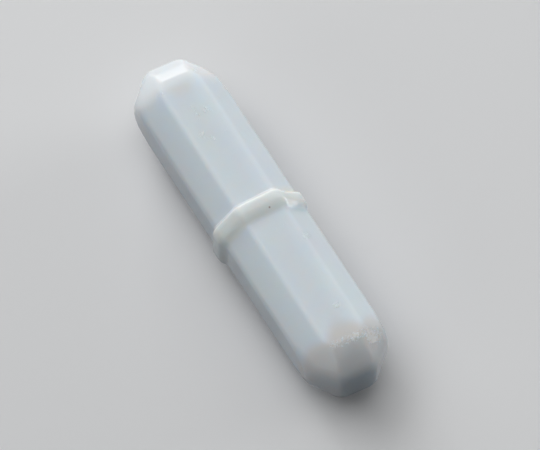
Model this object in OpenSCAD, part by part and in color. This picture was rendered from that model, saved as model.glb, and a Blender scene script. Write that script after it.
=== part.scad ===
// Octagonal magnetic stirring bar with a pivot ring.
// A bar magnet sealed in a moulded fluoropolymer jacket. Millimetres.
// +Z is up and +X runs along the bar. The origin is the spinning point: the middle of the
// pivot ring's lower flat, where the bar touches the floor of the vessel.

/* [Jacket] */

// Length over both ends
jacket_l = 35; // [30:0.5:50]
// Size across the broad flats at the top, bottom and sides
jacket_w = 8; // [7.2:0.1:9]
// Width of each broad flat, up to the corner it makes with the slanted flat
flat_w = 3.76; // [3.2:0.02:4.4]
// Rounding of the long edges
edge_r = 0.8; // [0.4:0.1:1.2]
// Jacket's wall over the magnet, at the middle of each broad flat
wall = 1.25; // [0.9:0.05:1.6]
// Solid length from the magnet's end to the jacket's end face
end_wall = 3.5; // [2.5:0.1:5]

/* [Tapered ends] */

// Length of each taper, from the middle of the shoulder's rounding to the end face
taper_l = 3; // [2.4:0.1:4]
// Size of the end face across its broad sides
end_w = 4.8; // [4.2:0.1:5.4]
// Length of each broad side of the end face
end_flat_w = 3.8; // [3.2:0.1:4.2]
// Rounding of the shoulder, where the taper starts
shoulder_r = 2; // [1:0.1:2.4]
// Length over which the long edges soften into the shoulder
soften_l = 2; // [1:0.1:4]
// Rounding of the end face's rim
rim_r = 0.9; // [0.4:0.1:1.2]

/* [Pivot ring] */

// Height of the ring above the jacket's flats
ring_rise = 0.42; // [0.3:0.02:1]
// Width of the flat land along the ring's crest
land_w = 0.4; // [0.2:0.05:0.8]
// Rounding of the crest's two edges
crest_r = 0.45; // [0.2:0.05:0.6]
// Steepest slope of the ring's flanks, in degrees
flank_deg = 36; // [30:1:50]
// Radius of the hollow that leads from each flank down to the jacket
hollow_r = 1.2; // [0.8:0.1:2]

/* [Magnet] */

// Chamfer of the magnet's end corners
magnet_chamfer = 0.3; // [0.1:0.05:0.5]
// Gap that the moulding leaves all round the magnet as it shrinks on
magnet_gap = 0.02; // [0.01:0.01:0.05]

/* [Hidden] */

// Height of the bar's axis, with the ring's lower flat on the floor
axis_z = jacket_w / 2 + ring_rise;
// Steps in a full turn of the rounding balls, a multiple of 8 so that a step lies on each flat
ball_fn = 32;
// Steps in each arc of the ring's section
arc_steps = 4;
// Slope at which the ring's hollows meet the jacket's flats, in degrees
foot_deg = 8;
// Depth that the hollows run on below the flats
foot_sink = 0.03;

// Centre of the rounding in the corner of a flat of width w, at h from the axis, as [across, out]
function corner_centre(w, h, r) = [w / 2 - r * tan(22.5), h - r];

// Points of an arc about c, from angle a0 to angle a1
function arc(c, r, a0, a1) =
  [for (i = [0:arc_steps]) let (a = a0 + (a1 - a0) * i / arc_steps) c + r * [cos(a), sin(a)]];

// Makes its children at both sides of all four broad flats
module each_corner()
  for (turn = [0:90:270], side = [0, 1]) rotate([turn, 0, 0]) mirror([0, side, 0]) children();

// Rods of radius r that fill the corners of an octagon, with flats of width w at h from the axis
module corner_rods(l, w, h, r) {
  c = corner_centre(w, h, r);
  each_corner() translate([0, c[0], c[1]]) rotate([0, 90, 0])
    cylinder(h = l, r = r, center = true, $fn = ball_fn);
}

// Balls that fill them at x: a ball's widest rings lie half a step off its middle, so it is drawn
// that much larger, to touch the flats
module corner_balls(x, w, h, r) {
  c = corner_centre(w, h, r);
  each_corner() translate([x, c[0], c[1]]) rotate([0, 90, 0])
    sphere(r = r / cos(180 / ball_fn), $fn = ball_fn);
}

// The plain jacket about its own axis: a long octagon with softly rounded, tapered ends
module jacket_body() {
  shoulder_x = jacket_l / 2 - taper_l;
  hull() {
    corner_rods(2 * (shoulder_x - soften_l), flat_w, jacket_w / 2, edge_r);
    for (end = [0, 1]) mirror([end, 0, 0]) {
      corner_balls(shoulder_x, flat_w, jacket_w / 2, shoulder_r);
      corner_balls(jacket_l / 2 - rim_r, end_flat_w, end_w / 2, rim_r);
    }
  }
}

// Half of the ring's outline, as [along the bar, out from the jacket's flat]: land, crest, flank, hollow
function half_outline() =
  let (
    crest = arc([land_w / 2, ring_rise - crest_r], crest_r, 90, 90 - flank_deg),
    crest_end = crest[arc_steps],
    hollow_drop = hollow_r * (cos(foot_deg) - cos(flank_deg)),
    // the straight flank takes up the height that the two arcs leave
    flank_drop = max(0.01, crest_end[1] + foot_sink - hollow_drop),
    hollow_top = crest_end + flank_drop * [1 / tan(flank_deg), -1],
    hollow_centre = hollow_top + hollow_r * [sin(flank_deg), cos(flank_deg)]
  )
  concat(crest, arc(hollow_centre, hollow_r, 270 - flank_deg, 270 - foot_deg));

// The ring's section as [along the bar, out], with its root at the centre of the corners' rounding
function ring_section() =
  let (half = half_outline(), n = len(half) - 1)
  concat(
    [[-half[n][0], 0]],
    [for (i = [n:-1:0]) [-half[i][0], edge_r + half[i][1]]],
    [for (i = [0:n]) [half[i][0], edge_r + half[i][1]]],
    [[half[n][0], 0]]
  );

// A straight length of the ring, from the origin along -Y, with +Z out
module ring_straight(l)
  rotate([90, 0, 0]) linear_extrude(l) polygon(ring_section());

// An eighth of a turn of the ring about X, from +Z round to +Y
module ring_bend()
  rotate([0, 90, 0]) rotate([0, 0, 135])
    rotate_extrude(angle = 45, $fn = 96) polygon([for (p = ring_section()) [p[1], p[0]]]);

// The pivot ring about its own axis: straight along each flat and turned round each long edge
module pivot_ring() {
  c = corner_centre(flat_w, jacket_w / 2, edge_r);
  slant_l = (c[1] - c[0]) * sqrt(2);
  each_corner() translate([0, c[0], c[1]]) {
    ring_straight(c[0]);
    ring_bend();
    rotate([-45, 0, 0]) translate([0, slant_l / 2, 0]) ring_straight(slant_l / 2);
  }
}

// The magnet's form about its own axis, grown by g all round
module magnet_form(g) {
  r = jacket_w / 2 - wall + g;
  x = jacket_l / 2 - end_wall + g;
  k = magnet_chamfer;
  rotate([0, 90, 0])
    rotate_extrude($fn = 96) polygon([[0, -x], [r - k, -x], [r, k - x], [r, x - k], [r - k, x], [0, x]]);
}

module jacket()
  color("#e9eef1") translate([0, 0, axis_z])
    difference() {
      union() {
        jacket_body();
        pivot_ring();
      }
      magnet_form(magnet_gap);
    }

module magnet()
  color("#74777a") translate([0, 0, axis_z]) magnet_form(0);

jacket();
magnet();
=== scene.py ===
import math

import bmesh
import bpy
from mathutils import Matrix, Vector, noise


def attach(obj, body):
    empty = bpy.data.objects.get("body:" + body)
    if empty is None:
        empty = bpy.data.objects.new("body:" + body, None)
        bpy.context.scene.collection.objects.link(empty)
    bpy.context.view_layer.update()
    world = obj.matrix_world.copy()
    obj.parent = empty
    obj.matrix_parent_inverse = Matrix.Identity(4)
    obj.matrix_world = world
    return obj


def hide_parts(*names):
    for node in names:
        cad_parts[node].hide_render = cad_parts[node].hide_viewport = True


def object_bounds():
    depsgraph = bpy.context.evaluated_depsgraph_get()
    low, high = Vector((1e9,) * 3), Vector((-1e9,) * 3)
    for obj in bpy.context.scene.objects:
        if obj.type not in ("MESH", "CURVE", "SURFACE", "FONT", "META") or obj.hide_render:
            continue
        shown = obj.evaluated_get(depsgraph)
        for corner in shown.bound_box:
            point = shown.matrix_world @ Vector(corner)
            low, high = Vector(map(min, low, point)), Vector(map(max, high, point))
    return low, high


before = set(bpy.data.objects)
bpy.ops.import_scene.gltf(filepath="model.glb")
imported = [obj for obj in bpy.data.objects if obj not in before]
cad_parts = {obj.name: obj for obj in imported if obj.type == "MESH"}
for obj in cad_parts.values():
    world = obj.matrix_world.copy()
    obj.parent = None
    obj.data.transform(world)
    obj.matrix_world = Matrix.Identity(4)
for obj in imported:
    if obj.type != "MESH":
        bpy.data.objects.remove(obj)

cad_low, cad_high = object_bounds()

# ---- Magnet ------------------------------------------------------------------------------
# The core of the bar is a rod of alnico, a cast magnet alloy. It is ground round to size,
# cut to length and its ends are broken by a small chamfer. The jacket seals it in.

mm = 0.001


def linear(sheet_colour):
    """A colour written as sRGB hex, as the shader's linear red, green, blue, alpha."""
    parts = [int(sheet_colour[i : i + 2], 16) / 255 for i in (1, 3, 5)]
    return [p / 12.92 if p <= 0.04045 else ((p + 0.055) / 1.055) ** 2.4 for p in parts] + [1]


def add(material, kind, sockets=None, **settings):
    """Adds one node. A socket is given a number or colour, or another node's output."""
    node = material.node_tree.nodes.new("ShaderNode" + kind)
    for name, value in settings.items():
        setattr(node, name, value)
    for socket, value in (sockets or {}).items():
        if isinstance(value, bpy.types.NodeSocket):
            material.node_tree.links.new(value, node.inputs[socket])
        else:
            node.inputs[socket].default_value = value
    return node


def new_material(name):
    material = bpy.data.materials.new(name)
    material.use_nodes = True
    material.node_tree.nodes.clear()
    return material


# Cast alnico, centreless ground: a dull warm grey metal. The wheel leaves fine rings along the
# rod, drawn 0.9 mm apart so that they show, and casting pores stay as darker spots.
wheel_pitch = 0.9
pore_size = 0.35
ground_alnico = new_material("ground_cast_alnico")
place = add(ground_alnico, "TexCoord")
rings = add(
    ground_alnico,
    "TexWave",
    {
        "Vector": place.outputs["Object"],
        "Scale": math.pi / (10 * wheel_pitch * mm),
        "Distortion": 1.5,
    },
    bands_direction="X",
)
pores = add(
    ground_alnico,
    "TexNoise",
    {"Vector": place.outputs["Object"], "Scale": 1 / (pore_size * mm), "Detail": 4.0},
)
tone = add(ground_alnico, "ValToRGB", {"Fac": pores.outputs["Fac"]})
tone.color_ramp.elements[0].position = 0.3
tone.color_ramp.elements[0].color = linear("#57554f")
tone.color_ramp.elements[1].position = 0.5
tone.color_ramp.elements[1].color = linear("#8e8c87")
relief = add(
    ground_alnico,
    "Bump",
    {"Height": rings.outputs["Fac"], "Strength": 0.35, "Distance": 0.01 * mm},
)
metal = add(
    ground_alnico,
    "BsdfPrincipled",
    {
        "Base Color": tone.outputs["Color"],
        "Metallic": 1.0,
        "Roughness": 0.42,
        "Normal": relief.outputs["Normal"],
    },
)
add(ground_alnico, "OutputMaterial", {"Surface": metal.outputs["BSDF"]})
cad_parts["magnet"].data.materials.clear()
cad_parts["magnet"].data.materials.append(ground_alnico)

# ---- Jacket ------------------------------------------------------------------------------
# One moulding of milky white PTFE, pressed and sintered round the magnet: an eight-sided bar
# with tapered ends, and a raised ring round its middle that the bar spins on.

# Its sizes are in millimetres, and the mesh is brought to metres at the end.
length = (cad_high.x - cad_low.x) / mm
height = (cad_high.z - cad_low.z) / mm
axis_z = height / 2
ring_rise = 0.42
flat_h = axis_z - ring_rise  # from the axis to a flat
flat_w = 3.76
diagonal_h = (flat_h + flat_w / 2) / math.sqrt(2)  # from the axis to a slanting face
edge_r = 0.8
eighth = math.radians(45)


def corner_arc(corner, section):
    """A corner's arc, as its middle in the section's plane and its radius. The corners beside
    the top and bottom flats have one radius, and those beside the side flats another."""
    x, top_h, side_h, slant_h, top_r, side_r = section
    angle = math.radians(90) + eighth * (corner + 0.5)
    y, z = math.cos(angle), math.sin(angle)
    beside_top = abs(z) > abs(y)
    flat, r = (top_h, top_r) if beside_top else (side_h, side_r)
    out = flat - r
    along = slant_h * math.sqrt(2) - flat - r * math.tan(eighth / 2)
    spot = (along, out) if beside_top else (out, along)
    return Vector((x, math.copysign(spot[0], y), math.copysign(spot[1], z))), r


def falling(x, bends):
    """Height at x of a level line that is bent down step by step, at last on to the end face.
    Each bend is [along the bar, height, radius]."""
    slopes = [math.atan2(a[1] - b[1], b[0] - a[0]) for a, b in zip(bends, bends[1:])]
    angles = (0, *slopes, math.radians(90))
    level = bends[0][1]
    for (bend_x, bend_h, r), before, after in zip(bends, angles, angles[1:]):
        reach = r * math.tan((after - before) / 2)
        begins, ends = bend_x - reach * math.cos(before), bend_x + reach * math.cos(after)
        centre_x = begins - r * math.sin(before)
        centre_h = bend_h + reach * math.sin(before) - r * math.cos(before)
        if x < begins:
            return level
        if x <= ends + 1e-9:
            return centre_h + math.sqrt(max(0, r**2 - (x - centre_x) ** 2))
        level = bend_h - (x - bend_x) * math.tan(after)
    return level


ring_steps = 5  # in each arc of the ring's section


def ring_side(land_w, crest_r, flank, hollow_r):
    """One side of the ring's section, from the middle of its land out to its foot:
    [along the bar, out from the jacket's flat]."""
    side = [(0, ring_rise), (land_w / 2, ring_rise)]
    for i in range(1, ring_steps + 1):
        a = flank * i / ring_steps
        crest_drop = crest_r * (1 - math.cos(a))
        side.append((land_w / 2 + crest_r * math.sin(a), ring_rise - crest_drop))
    hollow_rise = hollow_r * (1 - math.cos(flank))
    flank_run = (side[-1][1] - hollow_rise) / math.tan(flank)
    foot_x = side[-1][0] + flank_run + hollow_r * math.sin(flank)
    for i in range(ring_steps + 1):
        a = flank * (1 - i / ring_steps)
        side.append((foot_x - hollow_r * math.sin(a), hollow_r * (1 - math.cos(a))))
    return side


# The ring is crisp on one side, where the mould's halves met, and soft on the other.
crisp_side = ring_side(1.22, 0.34, math.radians(50), 0.25)
soft_side = ring_side(0.06, 1.1, math.radians(33), 1.0)

# The straight shaft, then the tapered end. The top and bottom flats break over a tight bend
# into a slightly convex taper, the sides over a softer one, and the slants turn in early and
# gently. All run into a rounded rim.
top_bends = ((14.97, flat_h, 0.5), (16.1, 3.27, 2.5), (length / 2, 1.9, 1.2))
side_bends = ((15.25, flat_h, 1.41), (length / 2, 1.725, 0.55))
slant_bends = ((14.28, diagonal_h, 2.13), (length / 2, 2.69, 1.7))

# The rounding of the long edges, as [along the bar, radius]. Beside the top and bottom flats
# they stay crisp, and beside the side flats they swell into the shoulder.
top_corner = ((12.5, edge_r), (15, 0.7), (length / 2, 0.25))
side_corner = ((12.5, edge_r), (15, 2.45), (16.5, 2.35), (length / 2, 0.25))
shaft_cuts = 36
taper_x = 14.2  # where the shaft gives way to the taper


def between(x, points):
    """The value at x of a line drawn through the points, level before the first."""
    for (x0, v0), (x1, v1) in zip(points, points[1:]):
        if x <= x1:
            return v0 + (v1 - v0) * max(0, x - x0) / (x1 - x0)
    return v1


# Sections along the taper, closest where it bends
end_stations = [14.4, 14.57, 14.7, 14.8, 14.88, 14.95, 15.02, 15.09, 15.17, 15.28, 15.44]
end_stations += [15.62, 15.8, 15.98, 16.15, 16.32, 16.48, 16.63, 16.76, 16.88, 16.98, 17.07]
end_stations += [17.15, 17.22, 17.29, 17.35, 17.4, 17.44, 17.47, 17.49, length / 2]


def half_sections(side):
    """All the sections of one half of the bar, from its middle to the end face."""
    found = [
        (x, flat_h + out, flat_h + out, diagonal_h + out, edge_r + out, edge_r + out)
        for x, out in side
    ]
    foot_x = side[-1][0]
    shaft = [foot_x + (taper_x - foot_x) * i / shaft_cuts for i in range(1, shaft_cuts + 1)]
    for x in shaft + end_stations:
        heights = [falling(x, bends) for bends in (top_bends, side_bends, slant_bends)]
        found.append((x, *heights, between(x, top_corner), between(x, side_corner)))
    return found


arc_cuts = 3
flat_cuts = 11
per_corner = arc_cuts + 1
shell = bmesh.new()


def reshape(cap, old, new):
    """Moves the cap's eight corner arcs from one section of the bar to the next."""
    for corner in range(8):
        arc = cap.verts[corner * per_corner : (corner + 1) * per_corner]
        (was, old_r), (centre, r) = corner_arc(corner, old), corner_arc(corner, new)
        bmesh.ops.translate(shell, verts=arc, vec=centre - was)
        bmesh.ops.scale(
            shell, verts=arc, vec=(1, r / old_r, r / old_r), space=Matrix.Translation(-centre)
        )


def grow(cap):
    """A new cap, one step on from the old one, whose face is dropped."""
    grown = bmesh.ops.extrude_face_region(shell, geom=[cap])
    bmesh.ops.delete(shell, geom=[cap], context="FACES_ONLY")
    return next(g for g in grown["geom"] if isinstance(g, bmesh.types.BMFace))


def flat_edges(cap):
    """The cap's edges along its flats, between one corner's arc and the next."""
    rim = list(cap.verts)
    ends = [rim[c * per_corner - 1] for c in range(1, 9)]
    starts = [rim[c * per_corner % len(rim)] for c in range(1, 9)]
    return [shell.edges.get(pair) for pair in zip(ends, starts)]


across_flats = []
for way, side in ((1, soft_side), (-1, crisp_side)):
    sections = half_sections(side)
    before = set(shell.verts)
    start = bmesh.ops.create_circle(
        shell,
        cap_ends=True,
        radius=flat_h / math.cos(eighth / 2),
        segments=8,
        matrix=Matrix(((0, 0, 1, 0), (1, 0, 0, 0), (0, 1, 0, 0), (0, 0, 0, 1))),
    )
    bmesh.ops.rotate(
        shell, verts=start["verts"], cent=(0, 0, 0), matrix=Matrix.Rotation(eighth / 2, 3, "X")
    )
    bmesh.ops.bevel(
        shell,
        geom=start["verts"],
        offset=edge_r * math.tan(eighth / 2),
        offset_type="OFFSET",
        segments=arc_cuts,
        profile=0.5,
        affect="VERTICES",
        material=-1,
    )
    cap = next(f for f in shell.faces if all(v.co.x == 0 for v in f.verts))
    reshape(cap, (0, flat_h, flat_h, flat_h, edge_r, edge_r), sections[0])
    across_flats += flat_edges(cap)
    for old, new in zip(sections, sections[1:]):
        cap = grow(cap)
        reshape(cap, old, new)
        across_flats += flat_edges(cap)

    # The end face, drawn in from the rim and closed at its middle
    for draw_in in (0.92, 0.85, 0.7, 0.5):
        cap = grow(cap)
        bmesh.ops.scale(shell, verts=cap.verts, vec=(1, draw_in, draw_in))
        across_flats += flat_edges(cap)
    half = [v for v in shell.verts if v not in before]
    bmesh.ops.scale(shell, verts=half, vec=(way, 1, 1))
bmesh.ops.subdivide_edges(shell, edges=across_flats, cuts=flat_cuts, use_grid_fill=True)
bmesh.ops.poke(shell, faces=[f for f in shell.faces if len(f.verts) > 4])
bmesh.ops.remove_doubles(shell, verts=shell.verts, dist=1e-4)
bmesh.ops.recalc_face_normals(shell, faces=shell.faces)

# The bar came out of its mould askew: both end faces lean the same way, the ring leans a little
# less, and the tapers run to one side. The flats are wavy, as the sintered part shrinks.
leaning = 0.091  # along the bar for each millimetre across it
ring_leaning = 0.03
sideways = (0.064, -0.105)  # across the bar for each millimetre along the far and the near taper
waviness, wave_l, wave_w = 0.012, 5, 2.5

# The ring swerves along the bar and sinks where it turns down on to the one side. On its soft
# side it is rubbed down, above and below.
ring_half_w = 1.2
ring_reach, ring_fade = 3, 1.5  # how far the ring's lean carries into the shaft
swerve, swerve_from, swerve_w = 0.42, 1.7, 1.3
sunk = 0.1
rubbed, rubbed_x, rubbed_w = 0.09, 0.4, 0.45
rubbed_to, rubbed_fade = 3.4, 0.6

# Knocks and scuffs, worst along the shoulder of one end. Each is [along the bar, across it,
# radius, how worn], and lies on whatever face of the bar looks up there.
knocks = [(-14.07, -1.89, 0.35, 0.6), (-11.63, -0.12, 0.3, 0.7), (-10.62, 0.72, 0.3, 0.75)]
knocks += [(-10.61, -0.13, 0.35, 0.6), (-10.35, -0.8, 0.9, 0.42), (-8.72, -0.78, 0.3, 0.68)]
knocks += [(-8.22, -0.68, 0.25, 0.6), (-7.9, -0.13, 0.3, 0.68), (-7.98, 1.2, 0.3, 0.7)]
knocks += [(-7.4, 1.9, 0.9, 0.4), (-10.9, 1.6, 1.2, 0.36), (-13.0, 3.3, 0.5, 0.5)]
knocks += [(-14.8, 2.05, 0.4, 0.6), (11.65, 0.85, 0.4, 0.7), (12.62, -1.09, 0.6, 0.45)]
knocks += [(2.43, 0.96, 0.4, 0.5), (4.35, 2.1, 0.45, 0.7), (14.73, 2.04, 0.35, 0.7)]
knocks += [(15.4, 2.1, 0.5, 0.9), (15.3, 2.5, 0.45, 0.8), (15.4, 3.0, 0.4, 0.75)]
knocks += [(15.0, 2.85, 0.5, 0.6), (15.85, 2.2, 0.6, 0.55), (15.8, 2.8, 0.9, 0.38)]
knocks += [(14.76, -1.33, 0.4, 0.62), (14.83, -0.73, 0.4, 0.6), (14.93, -0.07, 0.4, 0.66)]
knocks += [(15.04, 0.62, 0.4, 0.72), (14.97, 1.32, 0.4, 0.66)]
knock_depth = 0.055
grit = 0.45  # length of the bumps in a knock
worn = shell.verts.layers.float.new("worn")


def knock_at(x, y):
    """How worn the bar is at a place, from 0 to 1."""
    most = 0
    for knock_x, knock_y, radius, strength in knocks:
        reach = math.hypot(x - knock_x, y - knock_y) / radius
        if reach < 1.5:
            most = max(most, strength * min(1, 3 - 2 * reach))
    return most


for vert in shell.verts:
    x, y, z = vert.co
    by_ring = min(1, max(0, (ring_reach - abs(x)) / ring_fade))
    round_the_bend = min(1, max(0, (y - swerve_from) / swerve_w))
    ring_shift = ring_leaning * max(-2, min(2, y))
    ring_shift += swerve * round_the_bend**2 * (3 - 2 * round_the_bend)
    vert.co.x += ring_shift * by_ring + leaning * y * (1 - by_ring)
    vert.co.y += sideways[x > 0] * max(0, abs(x) - taper_x)
    if abs(x) < ring_half_w:
        vert.co.y -= sunk * round_the_bend * (1 - (x / ring_half_w) ** 2)
    outward = Vector((0, y, z)).normalized()
    if abs(y) < rubbed_to:
        on_soft_side = math.exp(-(((x - rubbed_x) / rubbed_w) ** 2))
        vert.co -= outward * rubbed * on_soft_side * min(1, (rubbed_to - abs(y)) / rubbed_fade)
    swell = noise.noise(Vector((x / wave_l, y / wave_w, z / wave_w))) - 0.5
    vert.co += outward * waviness * swell * min(1, Vector((y, z)).length / 2)
    if z > 1:
        vert[worn] = knock_at(vert.co.x, vert.co.y)
        vert.co += outward * knock_depth * vert[worn] * noise.noise(vert.co / grit)

# The sealed room that holds the magnet, with its wall turned inwards
magnet_r = 2.75
magnet_l = 28
magnet_gap = 0.02
magnet_chamfer = 0.3
hard_edges = shell.edges.layers.float.new("crease_edge")
room = bmesh.ops.create_cone(
    shell,
    cap_ends=True,
    segments=64,
    radius1=magnet_r + magnet_gap,
    radius2=magnet_r + magnet_gap,
    depth=magnet_l + 2 * magnet_gap,
    matrix=Matrix.Rotation(math.radians(90), 4, "Y"),
)
rims = {
    e
    for v in room["verts"]
    for e in v.link_edges
    if abs(e.verts[0].co.x - e.verts[1].co.x) < 1
}
cut = bmesh.ops.bevel(
    shell,
    geom=list(rims),
    offset=magnet_chamfer,
    offset_type="WIDTH",
    segments=1,
    profile=0.5,
    affect="EDGES",
    material=-1,
)
inside = {
    v
    for v in shell.verts
    if math.hypot(v.co.y, v.co.z) < magnet_r + 0.25 and abs(v.co.x) < magnet_l / 2 + 0.2
}
walls = [f for f in shell.faces if all(v in inside for v in f.verts)]
bmesh.ops.recalc_face_normals(shell, faces=walls)
bmesh.ops.reverse_faces(shell, faces=walls)
for edge in {e for f in cut["faces"] for e in f.edges}:
    if abs(edge.verts[0].co.x - edge.verts[1].co.x) < 0.01:
        edge[hard_edges] = 1

bmesh.ops.translate(shell, verts=shell.verts, vec=(0, 0, axis_z))
bmesh.ops.scale(shell, verts=shell.verts, vec=(mm, mm, mm))
for face in shell.faces:
    face.smooth = True
jacket_mesh = bpy.data.meshes.new("jacket_shell")
shell.to_mesh(jacket_mesh)
shell.free()
jacket = bpy.data.objects.new("jacket_shell", jacket_mesh)
bpy.context.scene.collection.objects.link(jacket)
smoothing = jacket.modifiers.new("smoothing", "SUBSURF")
smoothing.levels = smoothing.render_levels = 1

# Moulded PTFE: a waxy, milky white that light sinks into, with a low gloss. The magnet shows
# through the wall as a cool blue-grey shade; the solid ends and the ring stay warmer and whiter.
moulded_ptfe = new_material("moulded_milky_ptfe")
place = add(moulded_ptfe, "TexCoord")
middle = add(
    moulded_ptfe,
    "Mapping",
    {
        "Vector": place.outputs["Object"],
        "Location": (0, 0, -axis_z),
        "Scale": (1 / mm, 1 / mm, 1 / mm),
    },
)  # millimetres from the bar's middle
apart = add(moulded_ptfe, "SeparateXYZ", {"Vector": middle.outputs["Vector"]})
along = add(moulded_ptfe, "Math", {0: apart.outputs["X"]}, operation="ABSOLUTE")
section = add(
    moulded_ptfe, "VectorMath", {0: middle.outputs["Vector"], 1: (0, 1, 1)}, operation="MULTIPLY"
)
from_axis = add(moulded_ptfe, "VectorMath", {0: section.outputs["Vector"]}, operation="LENGTH")

# The magnet's shade ends in a soft curve, 13 mm along each broad flat and further along the
# corners
magnet_end = add(
    moulded_ptfe,
    "Math",
    {0: from_axis.outputs["Value"], 1: -3.5, 2: along.outputs[0]},
    operation="MULTIPLY_ADD",
)
past_magnet = add(
    moulded_ptfe,
    "MapRange",
    {"Value": magnet_end.outputs[0], "From Min": -1.7, "From Max": -0.1},
    interpolation_type="SMOOTHSTEP",
)
on_ring = add(
    moulded_ptfe,
    "MapRange",
    {"Value": along.outputs[0], "From Min": 1.5, "From Max": 0.7},
    interpolation_type="SMOOTHSTEP",
)
# Cloudy tints, where the pressed powder sintered unevenly
cloud_size = 4
clouds = add(
    moulded_ptfe,
    "TexNoise",
    {
        "Vector": middle.outputs["Vector"],
        "Scale": 1 / cloud_size,
        "Detail": 2.0,
        "Roughness": 0.5,
    },
)
cloudy = add(
    moulded_ptfe,
    "MapRange",
    {"Value": clouds.outputs["Fac"], "From Min": 0.25, "From Max": 0.75},
    interpolation_type="SMOOTHSTEP",
)
shaded = add(
    moulded_ptfe,
    "Mix",
    {"Factor": cloudy.outputs["Result"], 6: linear("#D6DEEB"), 7: linear("#D8E1EA")},
    data_type="RGBA",
)

# The solid ends are a little paler and less blue. Towards the near end, which faces away from
# the lamps, they are painted a little greyer: painted shade
near_end_painted_shade = add(
    moulded_ptfe, "MapRange", {"Value": apart.outputs["X"], "From Min": 8, "From Max": 14}
)
unshaded = add(
    moulded_ptfe,
    "Mix",
    {"Factor": near_end_painted_shade.outputs["Result"], 6: linear("#DADFE3"), 7: linear("#D5D7D8")},
    data_type="RGBA",
)
shaft_and_ends = add(
    moulded_ptfe,
    "Mix",
    {"Factor": past_magnet.outputs["Result"], 6: shaded.outputs[2], 7: unshaded.outputs[2]},
    data_type="RGBA",
)
milky = add(
    moulded_ptfe,
    "Mix",
    {"Factor": on_ring.outputs["Result"], 6: shaft_and_ends.outputs[2], 7: linear("#DBDFDE")},
    data_type="RGBA",
)

# Scuffs raise pale specks and short hairs. Their pale colour is partly the torn, whitened
# surface and partly a painted highlight, the glint their tiny facets catch
speck_size = 0.2
wear = add(moulded_ptfe, "Attribute", attribute_name="worn")
specks = add(
    moulded_ptfe,
    "TexNoise",
    {
        "Vector": middle.outputs["Vector"],
        "Scale": 1 / speck_size,
        "Detail": 1.0,
        "Distortion": 1.0,
    },
)
ragged = add(
    moulded_ptfe,
    "Math",
    {0: wear.outputs["Fac"], 1: specks.outputs["Fac"]},
    operation="ADD",
)
scuffs_and_glints = add(
    moulded_ptfe,
    "MapRange",
    {"Value": ragged.outputs[0], "From Min": 1.08, "From Max": 1.36},
    interpolation_type="SMOOTHSTEP",
)
# Scuffed specks are mixed towards a pale bluish white: worn whitening, and a painted glint on
# top of it
surface_tone = add(
    moulded_ptfe,
    "Mix",
    {"Factor": scuffs_and_glints.outputs["Result"], 6: milky.outputs[2], 7: linear("#E6F0FC")},
    data_type="RGBA",
)

# One dark grain of dirt, a fifth of a millimetre across, is pressed into the ring's soft side.
# Heights are flattened to a quarter, so that the grain needn't lie exactly on the surface.
dirt_place = (0.54, 0.62, 1.06)
flattened = add(
    moulded_ptfe,
    "VectorMath",
    {0: middle.outputs["Vector"], 1: (1, 1, 0.25)},
    operation="MULTIPLY",
)
from_dirt = add(
    moulded_ptfe,
    "VectorMath",
    {0: flattened.outputs["Vector"], 1: dirt_place},
    operation="DISTANCE",
)
dirt = add(
    moulded_ptfe,
    "MapRange",
    {"Value": from_dirt.outputs["Value"], "From Min": 0.12, "From Max": 0.04},
    interpolation_type="SMOOTHSTEP",
)
dirtied_tone = add(
    moulded_ptfe,
    "Mix",
    {"Factor": dirt.outputs["Result"], 6: surface_tone.outputs[2], 7: linear("#AE9F9C")},
    data_type="RGBA",
)

# Gloss that drifts a little, and is lost where the surface is torn
drift = add(
    moulded_ptfe, "MapRange", {"Value": clouds.outputs["Fac"], "To Min": 0.17, "To Max": 0.23}
)
gloss = add(
    moulded_ptfe,
    "Math",
    {0: scuffs_and_glints.outputs["Result"], 1: 0.04, 2: drift.outputs["Result"]},
    operation="MULTIPLY_ADD",
)
# The sintered grain dimples the skin, and torn scuffs stand up from it
grain_size = 0.5
grain = add(
    moulded_ptfe,
    "TexNoise",
    {
        "Vector": middle.outputs["Vector"],
        "Scale": 1 / grain_size,
        "Detail": 3.0,
        "Roughness": 0.6,
    },
)
skin = add(
    moulded_ptfe,
    "Bump",
    {"Height": grain.outputs["Fac"], "Strength": 0.5, "Distance": 0.015 * mm},
)
torn = add(
    moulded_ptfe,
    "Bump",
    {
        "Height": scuffs_and_glints.outputs["Result"],
        "Strength": 1.0,
        "Distance": 0.07 * mm,
        "Normal": skin.outputs["Normal"],
    },
)
# Light sinks about twice as deep into the solid ends as into the wall over the magnet
depth = add(
    moulded_ptfe,
    "MapRange",
    {"Value": past_magnet.outputs["Result"], "To Min": 2.8 * mm, "To Max": 5.5 * mm},
)
body = add(
    moulded_ptfe,
    "BsdfPrincipled",
    {
        "Base Color": dirtied_tone.outputs[2],
        "Roughness": gloss.outputs[0],
        "IOR": 1.35,
        "Normal": torn.outputs["Normal"],
        "Subsurface Weight": 1.0,
        "Subsurface Radius": (0.7, 0.88, 1.0),
        "Subsurface Scale": depth.outputs["Result"],
        "Subsurface Anisotropy": 0.8,
    },
)
add(moulded_ptfe, "OutputMaterial", {"Surface": body.outputs["BSDF"]})
jacket_mesh.materials.append(moulded_ptfe)
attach(jacket, "root")
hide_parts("jacket")

# ---- Floor and lamps ---------------------------------------------------------------------
# A plain pale bench top under soft studio light: a low window beyond the far end, a lower one to
# one side, a skylight, a wide ceiling light and a weak fill from the other side. The bench looks
# pale, but throws only a dim light back up, so that the bar's lower sides shade off.

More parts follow.
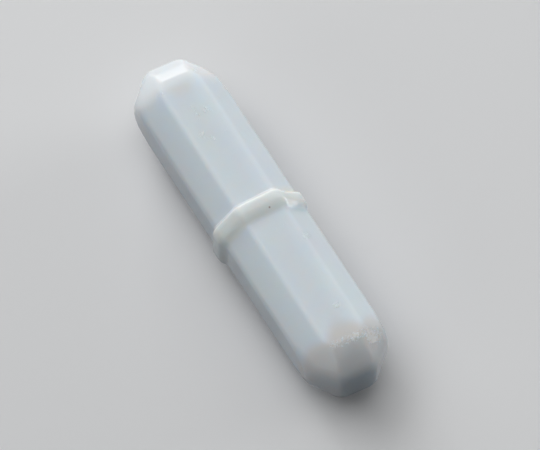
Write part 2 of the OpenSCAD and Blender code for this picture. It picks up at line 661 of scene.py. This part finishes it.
floor_mesh = bpy.data.meshes.new("floor")
bench = bmesh.new()
bmesh.ops.create_grid(bench, x_segments=2, y_segments=2, size=1.5)
bench.to_mesh(floor_mesh)
bench.free()
floor = bpy.data.objects.new("floor", floor_mesh)
bpy.context.scene.collection.objects.link(floor)
bench_top = new_material("pale_matt_bench")
seen = add(bench_top, "LightPath")
direct = add(
    bench_top,
    "Math",
    {0: seen.outputs["Is Camera Ray"], 1: seen.outputs["Is Glossy Ray"]},
    operation="MAXIMUM",
)
any_of_them = add(
    bench_top,
    "Math",
    {0: direct.outputs[0], 1: seen.outputs["Is Transmission Ray"]},
    operation="MAXIMUM",
)
tint = add(
    bench_top,
    "Mix",
    {"Factor": any_of_them.outputs[0], 6: linear("#293644"), 7: linear("#E2E3E4")},
    data_type="RGBA",
)
surface = add(
    bench_top, "BsdfPrincipled", {"Base Color": tint.outputs[2], "Roughness": 0.7}
)
add(bench_top, "OutputMaterial", {"Surface": surface.outputs["BSDF"]})
floor_mesh.materials.append(bench_top)


def soft_lamp(name, azimuth, elevation, distance, width, tall, power):
    """A soft box aimed at the bar, in metres and watts. Azimuth turns from +X towards +Y."""
    lamp = bpy.data.lights.new(name, "AREA")
    lamp.shape = "RECTANGLE"
    lamp.size, lamp.size_y, lamp.energy = width, tall, power
    holder = bpy.data.objects.new(name, lamp)
    direction = Matrix.Rotation(math.radians(azimuth), 3, "Z") @ Vector(
        (math.cos(math.radians(elevation)), 0, math.sin(math.radians(elevation)))
    )
    holder.location = direction * distance
    holder.rotation_euler = direction.to_track_quat("Z", "Y").to_euler()
    bpy.context.scene.collection.objects.link(holder)


soft_lamp("window", 168, 16, 0.6, 0.36, 0.34, 1.95)
soft_lamp("skylight", 200, 45, 0.6, 0.4, 0.4, 0.8)
soft_lamp("side_window", 85, 9, 0.6, 0.3, 0.14, 1.38)
soft_lamp("ceiling", 215, 75, 0.8, 0.9, 0.9, 3.5)
soft_lamp("fill", 278, 20, 0.6, 0.4, 0.2, 0.33)

# Pale surroundings, which the lens and reflections see but which throw no light on the bar
surroundings = bpy.data.worlds.new("surroundings")
bpy.context.scene.world = surroundings
surroundings.use_nodes = True
surroundings.node_tree.nodes.clear()
seen = add(surroundings, "LightPath")
direct = add(
    surroundings,
    "Math",
    {0: seen.outputs["Is Camera Ray"], 1: seen.outputs["Is Glossy Ray"]},
    operation="MAXIMUM",
)
any_of_them = add(
    surroundings,
    "Math",
    {0: direct.outputs[0], 1: seen.outputs["Is Transmission Ray"]},
    operation="MAXIMUM",
)
strength = add(
    surroundings, "MapRange", {"Value": any_of_them.outputs[0], "To Min": 0.0, "To Max": 0.8}
)
pale = add(
    surroundings, "Background", {"Color": linear("#F0F2F4"), "Strength": strength.outputs[0]}
)
add(surroundings, "OutputWorld", {"Surface": pale.outputs["Background"]})

# ---- Camera ------------------------------------------------------------------------------
# A long lens, high over the near end of the bar.

distance = 0.7243
shift_across, shift_upward = 0.848 * mm, 0.172 * mm
toward_camera = Vector((0.3816, -0.2257, 0.8963)).normalized()
across = Vector((0, 0, 1)).cross(toward_camera).normalized()
upward = toward_camera.cross(across)
aim = Vector((0, 0, axis_z * mm)) + across * shift_across + upward * shift_upward
camera = bpy.data.objects.new("camera", bpy.data.cameras.new("camera"))
camera.data.lens = 547.7
camera.data.clip_start = 0.01
camera.matrix_world = Matrix.Translation(aim + toward_camera * distance) @ Matrix(
    (across, upward, toward_camera)
).transposed().to_4x4()
bpy.context.scene.collection.objects.link(camera)
bpy.context.scene.camera = camera
bpy.context.scene.view_settings.view_transform = "Standard"
